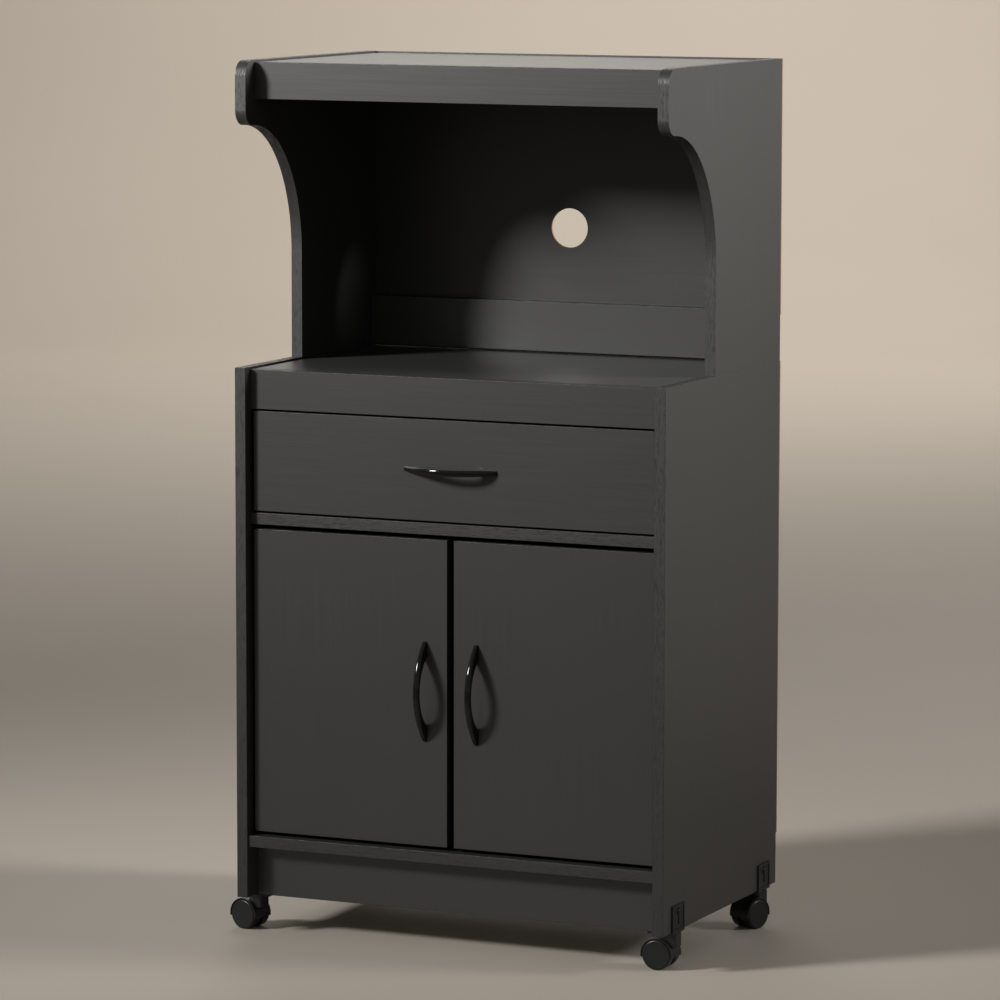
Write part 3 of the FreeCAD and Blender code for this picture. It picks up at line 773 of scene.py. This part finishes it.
# ---- handles
HANDLE_STEPS = 44
HANDLE_CORNER_STEPS = 6
HANDLE_CORNER = 0.8          # of half the section's shorter side
HANDLE_OPENING = 43.0 * MM   # from the middle to where the inner arc meets the board
HANDLE_WAIST = 4.2 * MM      # half width in the middle
HANDLE_TIP = 3.0 * MM        # half width at the ends
HANDLE_BLUNT = 2.0 * MM      # height of the ends over the board
HANDLE_SMOOTH = 50           # degrees
HANDLE_SCREW = 48.0 * MM     # from the handle's middle
FOOT_SINK = 6.0 * MM         # the feet run on this far, and are cut off at the board

# each handle's board, and the way that its bar runs
HANDLES = {
    "drawer_handle": ("drawer_front", X),
    "door_left_handle": ("door_left", Z),
    "door_right_handle": ("door_right", Z),
}


def arc_height(reach, rise, place, foot=0.0):
    """Height at a place of an arc: rise in the middle, and foot at the ends, reach from the middle."""
    sagitta = rise - foot
    radius = (reach * reach + sagitta * sagitta) / (2 * sagitta)
    inside = radius * radius - place * place
    return rise - radius + math.sqrt(max(inside, 0.0))


def make_bow(length, projection, shape):
    """A bow along X that stands out along Y: a rounded bar whose feet run out in wedges."""
    half = length / 2

    def section(place):
        """Centre, half height and half width of the bar at a place."""
        top = arc_height(half, projection, place, HANDLE_BLUNT)
        under = max(arc_height(HANDLE_OPENING, projection - shape.handle_bar, place), -FOOT_SINK)
        width = HANDLE_TIP + (HANDLE_WAIST - HANDLE_TIP) * (1 - (place / half) ** 4)
        return (top + under) / 2, (top - under) / 2, width

    place = -half
    centre, tall, wide = section(place)
    select_only(None)
    bpy.ops.mesh.primitive_plane_add(size=2, location=(place, centre, 0), rotation=(0, math.pi / 2, 0))
    bow = bpy.context.object
    bow.scale = (wide, tall, 1)
    settle(bow)
    bpy.ops.object.mode_set(mode="EDIT")
    bpy.ops.mesh.select_all(action="SELECT")
    corner = min(wide, tall) * HANDLE_CORNER
    bpy.ops.mesh.bevel(offset=corner, segments=HANDLE_CORNER_STEPS, affect="VERTICES")
    for number in range(1, HANDLE_STEPS + 1):
        # the steps are closer together towards the feet
        last_place, last_centre, last_tall, last_wide = place, centre, tall, wide
        place = -half * math.cos(math.pi * number / HANDLE_STEPS)
        centre, tall, wide = section(place)
        move = (place - last_place, centre - last_centre, 0)
        bpy.ops.mesh.extrude_region_move(TRANSFORM_OT_translate={"value": move})
        scale = (1, tall / last_tall, wide / last_wide)
        bpy.ops.transform.resize(value=scale, center_override=(place, centre, 0))
    bpy.ops.mesh.select_all(action="SELECT")
    bpy.ops.mesh.normals_make_consistent(inside=False)
    bpy.ops.mesh.bisect(plane_co=(0, 0, 0), plane_no=(0, 1, 0), use_fill=True, clear_inner=True)
    leave_edit()
    return bow


def make_handles(shape):
    """One bow, copied to the drawer and both doors."""
    low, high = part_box("drawer_handle")
    bow = make_bow(high.x - low.x, high.y - low.y, shape)
    out = -Y
    for node, (_, along) in HANDLES.items():
        middle = middle_of(node)
        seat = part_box(node)[1].y
        turn = Matrix((along, out, along.cross(out))).transposed().to_4x4()
        twin = copy_of(bow)
        twin.matrix_world = Matrix.Translation((middle.x, seat, middle.z)) @ turn
        name, body = node + "_bow", body_of_node(node)
        finish(settle(twin), name, body, [node], ["handle"], HANDLE_SMOOTH)
    bpy.data.objects.remove(bow)


def make_handle_screws():
    """Pan heads on the inner faces of the doors and the drawer front."""
    for node, (board, along) in sorted(HANDLES.items()):
        middle = middle_of(node)
        middle.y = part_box(board)[1].y
        places = [(middle + along * (sign * HANDLE_SCREW), Y) for sign in (-1, 1)]
        make_heads(node + "_screws", body_of_node(node), HANDLE_HEAD, places)


# ---- hinges and slides
def make_sheet_metal(node, shape, material="steel"):
    """A copy of a bent CAD piece with its edges broken."""
    piece = soften(copy_node(node), shape.metal_round, angle=METAL_ANGLE)
    finish(piece, node + "_form", body_of_node(node), [node], [material])


WING_SCREW = 5.0 * MM        # from the ends of a hinge's wing plate
WING_LENGTH = 52.0 * MM
ARM_SCREWS = (9.0 * MM, 26.0 * MM)      # from the end of a hinge arm's foot
ARM_SHEET = 2.4 * MM
ARM_HALF = 5.0 * MM          # of an arm's width


def make_hinges(shape):
    """Cups and arms, with the screws that hold them."""
    arm_low, arm_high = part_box("hinge_arms")
    arm_screws = []
    for side, sign in SIDES.items():
        node = f"door_{side}_hinge_cups"
        make_sheet_metal(node, shape)
        low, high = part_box(node)
        x = (low.x + high.x) / 2
        ends = (low.z, low.z + WING_LENGTH, high.z - WING_LENGTH, high.z)
        heights = [end + WING_SCREW * inward for end, inward in zip(ends, (1, -1, 1, -1))]
        places = [(Vector((x, high.y, z)), Y) for z in heights]
        make_heads(node + "_screws", "door_" + side, WING_HEAD, places)
        inner = sign * (arm_high.x - ARM_SHEET)
        for z in (arm_low.z + ARM_HALF, arm_high.z - ARM_HALF):
            for inset in ARM_SCREWS:
                arm_screws.append((Vector((inner, arm_high.y - inset, z)), X * -sign))
    make_sheet_metal("hinge_arms", shape)
    make_heads("hinge_arm_screws", "cabinet", ARM_HEAD, arm_screws)


SLIDE_SHEET = 1.2 * MM
SLIDE_SCREWS = (0.14, 0.5, 0.86)        # places along a slide, as shares of its length
RUNNER_SCREW_DROP = 9.0 * MM            # under the runner's upper face


def make_slide_heads(name, body, node, x, z, out):
    """Screws along a rail or runner, at one height, on the side that out points to."""
    low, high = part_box(node)
    places = [(Vector((x, low.y + share * (high.y - low.y), z)), out) for share in SLIDE_SCREWS]
    make_heads(name, body, SLIDE_HEAD, places)


def make_slides(shape):
    """Rails and runners with their screws, and the rollers between them."""
    for side, sign in SIDES.items():
        rail, runner = "slide_rail_" + side, "drawer_runner_" + side
        for node in (rail, runner):
            make_sheet_metal(node, shape, "paint")
        low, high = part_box(rail)
        face = sign * (max(abs(low.x), abs(high.x)) - SLIDE_SHEET)
        make_slide_heads(rail + "_screws", "cabinet", rail, face, (low.z + high.z) / 2, X * -sign)
        low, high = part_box("drawer_side_" + side)
        face = sign * (max(abs(low.x), abs(high.x)) + SLIDE_SHEET)
        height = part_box(runner)[1].z - RUNNER_SCREW_DROP
        make_slide_heads(runner + "_screws", "drawer", runner, face, height, X * sign)
    for node in ("rail_rollers", "runner_rollers"):
        make_rollers(node)


ROLLER_WIDTH = 6.2 * MM
ROLLER_STEPS = 64
ROLLER_BORE = 2.6 * MM
ROLLER_BORE_STEPS = 32
ROLLER_ROUND = 0.3 * MM
# width and height of the insets that sink a ring into each face
ROLLER_RING = ((1.6 * MM, 0), (0.2 * MM, -0.7 * MM), (2.0 * MM, 0), (0.2 * MM, 0.7 * MM))


def make_rollers(node):
    """Nylon rollers with a sunk ring on each face, round a bore for the stud."""
    low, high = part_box(node)
    radius = (high.z - low.z) / 2
    y, z = (low.y + high.y) / 2, (low.z + high.z) / 2
    first = rod(radius, (0, y, z), (ROLLER_WIDTH, y, z), ROLLER_STEPS)
    edit(first, "FACE", lambda face: abs(face.normal.x) > ALONG)
    for thickness, depth in ROLLER_RING:
        bpy.ops.mesh.inset(thickness=thickness, depth=depth, use_individual=True)
    leave_edit()
    tool = rod(ROLLER_BORE, (-ROLLER_WIDTH, y, z), (2 * ROLLER_WIDTH, y, z), ROLLER_BORE_STEPS)
    combine(first, tool, "DIFFERENCE")
    soften(first, ROLLER_ROUND)
    rollers = [first, copy_of(first)]
    for roller, start in zip(rollers, (low.x, high.x - ROLLER_WIDTH)):
        roller.location.x = start
        settle(roller)
    finish(join(rollers), node + "_turned", node, [node], ["nylon"])


# ---- shelf supports
SUPPORT_HALF = 7.0 * MM      # of a block's width
SUPPORT_ROUND = 0.8 * MM


def make_supports():
    """Corner blocks, each with a screw in its slanted face."""
    node = "shelf_supports"
    piece = soften(copy_node(node), SUPPORT_ROUND, segments=3, angle=METAL_ANGLE)
    low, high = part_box(node)
    places = []
    for sign in SIDES.values():
        # the slanted face lies at 45 degrees across the block's corner
        slant = Vector((-sign, 0, -1)).normalized()
        for y in (low.y + SUPPORT_HALF, high.y - SUPPORT_HALF):
            corner = Vector((sign * high.x, y, high.z))
            places.append((corner + slant * ((high.z - low.z) * math.sqrt(0.5)), slant))
    finish(piece, node + "_moulded", "cabinet", [node], ["plastic"])
    make_heads(node + "_screws", "cabinet", SUPPORT_HEAD, places)


# ---- casters
HOOD_DROP = 3.5 * MM         # the hood's ends hang this far under the wheels' axis
HOOD_GAP = 0.7 * MM          # between treads and hood
WEB_HALF = 4.2 * MM          # the web between the wheels, from the caster's middle
HUB_RADIUS = 17.0 * MM
HUB_STEP = 0.3 * MM          # between the web's face and the hub's
BOSS_HALF = 10.0 * MM
BOSS_LOW = 30.0 * MM
BOSS_CORNER = 4.0 * MM
WHEEL_STEPS = 96
WHEEL_BACK_ROUND = 0.8 * MM
# width and height of the insets that dish a wheel's outer face
WHEEL_DISH = ((0.9 * MM, 0), (0.35 * MM, -0.3 * MM), (5.0 * MM, -0.15 * MM), (6.0 * MM, 0.3 * MM))
HOOD_ROUND = 0.45 * MM


def caster_place(caster):
    """Takes a caster with its swivel axis on Z and its wheels trailing along X to where it stands."""
    swivel = Vector(joint(f"caster_{caster}_swivel")["pos_m"])
    spin = joint(f"caster_{caster}_wheel_b_spin")
    trail = Vector(spin["pos_m"]) - swivel
    trail.z = swivel.z = 0
    turn = Matrix((trail.normalized(), Vector(spin["axis"]), Z)).transposed().to_4x4()
    return Matrix.Translation(swivel) @ turn


def box_in(place, node):
    """(lowest corner, highest corner) of a CAD node in the axes of a place."""
    back = place.inverted()
    points = [back @ vertex.co for vertex in frame["nodes"][node].data.vertices]
    axes = list(zip(*points))
    return Vector(map(min, axes)), Vector(map(max, axes))


def make_wheel(low, high, shape):
    """A wheel with round shoulders; its outer face is dished round a low centre."""
    x, z = (low.x + high.x) / 2, (low.z + high.z) / 2
    radius = (high.z - low.z) / 2
    wheel = rod(radius, (x, low.y, z), (x, high.y, z), WHEEL_STEPS)

    def on_rim(one, y):
        return all(abs(end.y - y) < WELD for end in ends_of(wheel, one))

    round_corner(wheel, lambda one: on_rim(one, high.y), shape.tread_round, segments=5)
    round_corner(wheel, lambda one: on_rim(one, low.y), WHEEL_BACK_ROUND, segments=2)
    edit(wheel, "FACE", lambda face: face.normal.y > ALONG)
    for thickness, depth in WHEEL_DISH:
        bpy.ops.mesh.inset(thickness=thickness, depth=depth)
    leave_edit()
    return wheel


def make_hood(wheel_low, wheel_high, high):
    """Fender over both wheels, boss round the swivel pin, and the web between the wheels."""
    x, z = (wheel_low.x + wheel_high.x) / 2, wheel_high.z / 2
    outer = high.x - x
    hood = rod(outer, (x, -high.y, z), (x, high.y, z), WHEEL_STEPS)
    cut_away(hood, (x, 0, z - HOOD_DROP), -Z)
    boss = box((-BOSS_HALF, -BOSS_HALF, BOSS_LOW), (BOSS_HALF, BOSS_HALF, high.z))

    def is_upright(one):
        start, end = ends_of(boss, one)
        return abs(start.z - end.z) > BOSS_CORNER

    round_corner(boss, is_upright, BOSS_CORNER, segments=6)
    combine(hood, boss, "UNION")
    for side in (-1, 1):
        start, end = (x, side * WEB_HALF, z), (x, side * (high.y + BOSS_HALF), z)
        combine(hood, rod(z + HOOD_GAP, start, end, WHEEL_STEPS), "DIFFERENCE")
    hub_half = WEB_HALF - HUB_STEP
    combine(hood, rod(HUB_RADIUS, (x, -hub_half, z), (x, hub_half, z), WHEEL_STEPS), "UNION")
    return soften(hood, HOOD_ROUND, angle=METAL_ANGLE)


BRACKET_RIM_DEPTH = 0.8 * MM
BRACKET_SCREW_DROP = 9.5 * MM           # under the bracket's upper edge


def make_brackets(shape):
    """Angle plates, each with its screw near the top of the slot."""
    node = "caster_brackets"
    piece = soften(copy_node(node), shape.metal_round, angle=METAL_ANGLE)
    finish(piece, node + "_pressed", "cabinet", [node], ["paint"])
    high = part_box("caster_brackets")[1]
    places = []
    for caster in CASTERS:
        x, y, _ = joint(f"caster_{caster}_swivel")["pos_m"]
        sign = math.copysign(1, x)
        place = Vector((sign * (high.x - BRACKET_RIM_DEPTH), y, high.z - BRACKET_SCREW_DROP))
        places.append((place, X * sign))
    size = (shape.screw_head, BRACKET_HEAD_RISE)
    make_heads("caster_bracket_screws", "cabinet", size, places, "paint")


def make_casters(shape):
    """One hood and one wheel, copied to all four casters."""
    sample = caster_place(CASTERS[0])
    wheel_low, wheel_high = box_in(sample, f"caster_{CASTERS[0]}_wheel_b")
    hood_high = box_in(sample, f"caster_{CASTERS[0]}_hood")[1]
    hood = make_hood(wheel_low, wheel_high, hood_high)
    wheel = make_wheel(wheel_low, wheel_high, shape)
    middle = Vector(((wheel_low.x + wheel_high.x) / 2, 0, 0))
    turned = Matrix.Translation(middle) @ Matrix.Rotation(math.pi, 4, "Z") @ Matrix.Translation(-middle)
    for caster in CASTERS:
        place = caster_place(caster)
        node = f"caster_{caster}_hood"
        twin = copy_of(hood)
        twin.matrix_world = place
        finish(settle(twin), node + "_moulded", "caster_" + caster, [node], ["plastic"])
        for letter, turn in (("a", turned), ("b", Matrix.Identity(4))):
            node = f"caster_{caster}_wheel_{letter}"
            twin = copy_of(wheel)
            twin.matrix_world = place @ turn
            finish(settle(twin), node + "_turned", node, [node], ["wheel"])
    bpy.data.objects.remove(hood)
    bpy.data.objects.remove(wheel)
    make_brackets(shape)


# ---- operators
class CART_OT_boards(Operator):
    """Cover the cabinet's boards with laminate and edge bands"""

    bl_idname = "cart.boards"
    bl_label = "Cabinet Boards"

    def execute(self, context):
        shape = context.scene.cart_shape
        for node in CABINET_BOARDS:
            make_board(node, shape)
        return {"FINISHED"}


class CART_OT_hutch_sides(Operator):
    """Cover the curved sides of the hutch, and band their edges"""

    bl_idname = "cart.hutch_sides"
    bl_label = "Hutch Sides"

    def execute(self, context):
        for side in SIDES:
            make_hutch_side("hutch_side_" + side, context.scene.cart_shape)
        return {"FINISHED"}


class CART_OT_back_sheets(Operator):
    """Nail the two back sheets on, the upper one with its round cable hole"""

    bl_idname = "cart.back_sheets"
    bl_label = "Back Sheets"

    def execute(self, context):
        hole = named(frame["record"]["mounts"], "cable_hole")
        make_back_sheet("base_back_sheet")
        make_back_sheet("hutch_back_sheet", hole["dims"]["r_mm"] * MM, hole["pos_m"][2])
        return {"FINISHED"}


class CART_OT_doors(Operator):
    """Make both doors"""

    bl_idname = "cart.doors"
    bl_label = "Doors"

    def execute(self, context):
        shape = context.scene.cart_shape
        for side in SIDES:
            node = "door_" + side
            make_cut_board(node, node + "_panel", shape, "face_z", steps=3)
        return {"FINISHED"}


class CART_OT_drawer(Operator):
    """Make the drawer's box and front"""

    bl_idname = "cart.drawer"
    bl_label = "Drawer"

    def execute(self, context):
        shape = context.scene.cart_shape
        make_cut_board("drawer_front", "drawer_front_panel", shape, "face_x")
        for node in DRAWER_BOARDS:
            make_cut_board(node, node + "_board", shape, "inner")
        bottom = soften(box(*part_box("drawer_bottom")), DRAWER_BOTTOM_ROUND)
        finish(bottom, "drawer_bottom_sheet", "drawer", ["drawer_bottom"], ["inner"])
        return {"FINISHED"}


class CART_OT_handles(Operator):
    """Make the three bow handles"""

    bl_idname = "cart.handles"
    bl_label = "Handles"

    def execute(self, context):
        make_handles(context.scene.cart_shape)
        return {"FINISHED"}


class CART_OT_hinges(Operator):
    """Make the four concealed hinges, with their screws"""

    bl_idname = "cart.hinges"
    bl_label = "Hinges"

    def execute(self, context):
        make_hinges(context.scene.cart_shape)
        return {"FINISHED"}


class CART_OT_slides(Operator):
    """Make the drawer slides with their rollers"""

    bl_idname = "cart.slides"
    bl_label = "Drawer Slides"

    def execute(self, context):
        make_slides(context.scene.cart_shape)
        return {"FINISHED"}


class CART_OT_fittings(Operator):
    """Make the cams, the shelf supports and the handle screws"""

    bl_idname = "cart.fittings"
    bl_label = "Fittings"

    def execute(self, context):
        make_cams()
        make_supports()
        make_handle_screws()
        return {"FINISHED"}


class CART_OT_casters(Operator):
    """Make the four hooded twin-wheel casters and their brackets"""

    bl_idname = "cart.casters"
    bl_label = "Casters"

    def execute(self, context):
        make_casters(context.scene.cart_shape)
        return {"FINISHED"}


class CART_OT_stage(Operator):
    """Set up the floor, the lights and the camera"""

    bl_idname = "cart.stage"
    bl_label = "Stage"

    def execute(self, context):
        stage = context.scene.cart_stage
        make_floor(stage.floor, stage.turn[2])
        make_lights(stage)
        make_camera(stage)
        return {"FINISHED"}


WALL_DISTANCE = 11.0         # clear of a camera behind the cart
WALL_HEIGHT = 6.0
FLOOR_HALF = 30.0
SWEEP = 3.0


def make_floor(colour, turn):
    """A plain floor that sweeps up into a wall behind the cart, turned square to the camera."""
    select_only(None)
    middle = (0, WALL_DISTANCE - FLOOR_HALF, 0)
    bpy.ops.mesh.primitive_plane_add(size=2 * FLOOR_HALF, location=middle)
    floor = settle(bpy.context.object)
    floor.name = "floor"
    behind = WALL_DISTANCE - SWEEP / 2
    edit(floor, "EDGE", lambda one: all(end.y > behind for end in ends_of(floor, one)))
    bpy.ops.mesh.extrude_region_move(TRANSFORM_OT_translate={"value": (0, 0, WALL_HEIGHT)})
    leave_edit()

    def is_corner(one):
        return all(end.y > behind and end.z < SWEEP for end in ends_of(floor, one))

    round_corner(floor, is_corner, SWEEP, segments=16)
    floor.rotation_euler.z = turn
    settle(floor)
    bpy.ops.object.shade_smooth()
    look = Finish("pale_floor")
    cloud = look.noise((0.8, 0.8, 0.8), 3.0)
    look.colour(look.ramp(cloud, ((0.3, shade(colour, 0.98)), (0.7, shade(colour, 1.02)))))
    look.set(Roughness=0.75)
    floor.data.materials.append(look.material)


# place, aim and width of the lights
KEY_LIGHT = ((-3.1, -3.4, 2.7), (0.0, 0.0, 1.5), 1.0)
SIDE_LIGHT = ((3.4, 0.9, 2.1), (0.3, 0.0, 1.55), 1.4)
BACK_LIGHT = ((-2.3, 4.4, 3.7), (0.0, 0.0, 0.8), 2.6)
WALL_LIGHT = ((-2.0, 6.8, 4.5), (-3.9, 9.2, 0.5), 3.0)
LIGHT_WHITE = (1.0, 0.99, 0.97)
LIGHT_WARM = (1.0, 0.96, 0.91)


def area_light(name, stand, power, spread=math.pi, colour=LIGHT_WHITE):
    """A round soft light, which the camera doesn't see; stand is its place, aim and width."""
    place, target, size = stand
    light = bpy.data.lights.new(name, "AREA")
    light.shape = "DISK"
    light.size = size
    light.energy = power
    light.spread = spread
    light.color = colour
    lamp = bpy.data.objects.new(name, light)
    bpy.context.scene.collection.objects.link(lamp)
    lamp.location = place
    lamp.rotation_euler = (Vector(target) - Vector(place)).to_track_quat("-Z", "Y").to_euler()
    lamp.visible_camera = False


def make_lights(stage):
    """Four soft lights, and even light from all round."""
    area_light("key_light", KEY_LIGHT, stage.key_power, stage.key_spread)
    area_light("side_light", SIDE_LIGHT, stage.side_power, stage.side_spread)
    area_light("back_light", BACK_LIGHT, stage.back_power)
    area_light("wall_light", WALL_LIGHT, stage.wall_power, colour=LIGHT_WARM)
    world = bpy.context.scene.world or bpy.data.worlds.new("studio")
    bpy.context.scene.world = world
    world.use_nodes = True
    world.node_tree.nodes["Background"].inputs["Color"].default_value = (*stage.sky, 1.0)


def make_camera(stage):
    """The camera that the photo was taken with, as its lines tell."""
    camera = bpy.data.objects.new("camera", bpy.data.cameras.new("camera"))
    bpy.context.scene.collection.objects.link(camera)
    camera.location = stage.eye
    camera.rotation_euler = stage.turn
    camera.data.lens = stage.lens
    camera.data.sensor_width = 36.0
    camera.data.clip_end = 100.0
    bpy.context.scene.camera = camera
    bpy.context.scene.view_settings.view_transform = "Standard"


class CART_PT_sidebar(Panel):
    """Lists the cart's pieces in the order in which they are made"""

    bl_idname = "CART_PT_sidebar"
    bl_label = "Microwave Cart"
    bl_space_type = "VIEW_3D"
    bl_region_type = "UI"
    bl_category = "Cart"

    def draw(self, context):
        layout = self.layout
        for settings in (context.scene.cart_shape, context.scene.cart_finish, context.scene.cart_stage):
            column = layout.column(align=True)
            for name in settings.__annotations__:
                column.prop(settings, name)
        column = layout.column(align=True)
        for operator in OPERATORS:
            column.operator(operator.bl_idname)


SETTINGS = (("cart_shape", CartShape), ("cart_finish", CartFinish), ("cart_stage", CartStage))
OPERATORS = (
    CART_OT_stage,
    CART_OT_boards,
    CART_OT_hutch_sides,
    CART_OT_back_sheets,
    CART_OT_doors,
    CART_OT_drawer,
    CART_OT_handles,
    CART_OT_hinges,
    CART_OT_slides,
    CART_OT_fittings,
    CART_OT_casters,
)


def register():
    for name, group in SETTINGS:
        bpy.utils.register_class(group)
        setattr(bpy.types.Scene, name, PointerProperty(type=group))
    for kind in (*OPERATORS, CART_PT_sidebar):
        bpy.utils.register_class(kind)


def unregister():
    for kind in reversed((*OPERATORS, CART_PT_sidebar)):
        bpy.utils.unregister_class(kind)
    for name, group in reversed(SETTINGS):
        delattr(bpy.types.Scene, name)
        bpy.utils.unregister_class(group)


def main():
    register()
    make_materials(bpy.context.scene.cart_finish)
    for operator in OPERATORS:
        group, name = operator.bl_idname.split(".")
        getattr(getattr(bpy.ops, group), name)()


if __name__ == "__main__":
    main()
